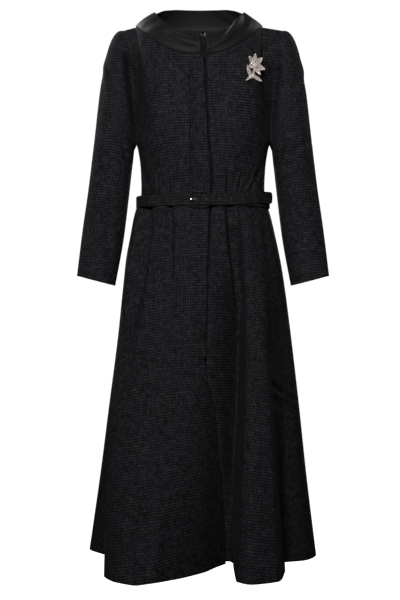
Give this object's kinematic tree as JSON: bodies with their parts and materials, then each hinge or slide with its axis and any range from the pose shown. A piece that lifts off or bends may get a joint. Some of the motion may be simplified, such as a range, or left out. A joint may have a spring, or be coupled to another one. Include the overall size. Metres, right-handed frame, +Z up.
{
  "type": "boucle coat",
  "caption": "Fitted black boucle coat with a flared skirt, satin stand-away band collar, self belt with covered buckle and a flower brooch, filled out as worn.",
  "frame": {"origin": "midway between the shoulder points, on the shoulder line where the coat is held", "axes": "+Z up, -Y out of the coat's front, +X towards the wearer's left"},
  "size_m": [0.575, 0.5086, 1.2874],
  "materials": {
    "boucle": "looped boucle weave, matte black with a faint plum cast",
    "satin": "black satin with a soft broad sheen",
    "belt_cloth": "flat stitched strap of the coat's own boucle",
    "metal": "polished steel",
    "brooch_metal": "pale rose-gold metal set with clear stones"
  },
  "bodies": {
    "root": {"front_right": "boucle", "front_left": "boucle", "back": "boucle", "sleeve_right": "boucle", "sleeve_left": "boucle", "collar": "satin", "placket": "boucle", "belt": "belt_cloth", "buckle": "belt_cloth", "prong": "metal", "brooch": "brooch_metal"}
  },
  "joints": []
}
